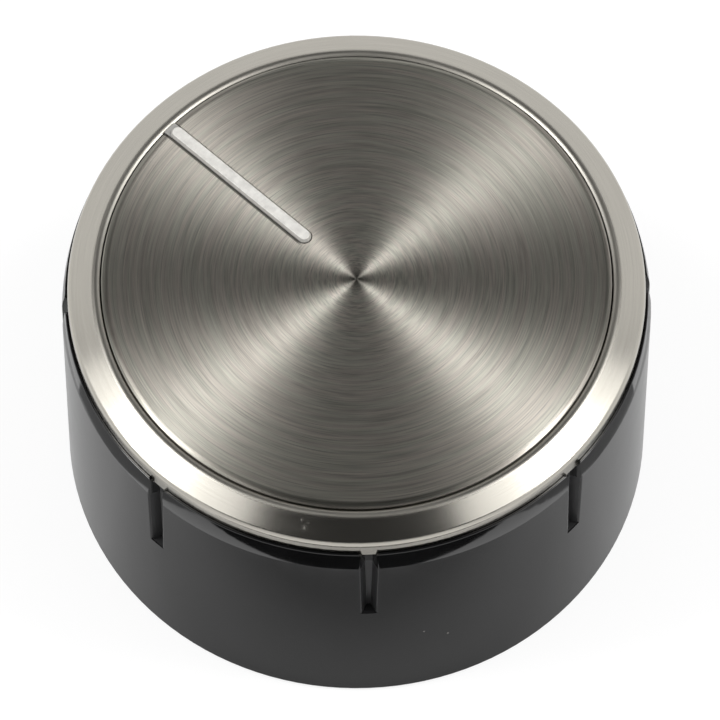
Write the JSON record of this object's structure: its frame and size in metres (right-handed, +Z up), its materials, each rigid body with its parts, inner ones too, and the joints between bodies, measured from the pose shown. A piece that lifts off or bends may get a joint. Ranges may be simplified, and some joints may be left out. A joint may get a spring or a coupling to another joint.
{
  "type": "stove knob",
  "caption": "Round cooker control knob: black grooved grip, satin bevel ring, brushed face with a raised pointer bar, and a D-shaft socket underneath.",
  "frame": {"origin": "centre of the base rim, on the surface that the knob stands on, which is also on the axis of the shaft socket", "axes": "+Z up along the shaft's axis towards the face, +Y from the middle of the face along the pointer, +X to the right seen from above with the pointer up"},
  "size_m": [0.045, 0.045, 0.0257],
  "materials": {
    "black_plastic": "gloss",
    "satin_metal": "satin",
    "brushed_face": "circular brushed",
    "bright_metal": "polished",
    "adhesive_pad": "matte",
    "spring_steel": "rolled"
  },
  "bodies": {
    "root": {"grip_body": "black_plastic", "bezel_ring": "satin_metal", "face_disc": "brushed_face", "pointer_bar": "bright_metal", "face_pad": "adhesive_pad", "socket_spring": "spring_steel"}
  },
  "joints": []
}
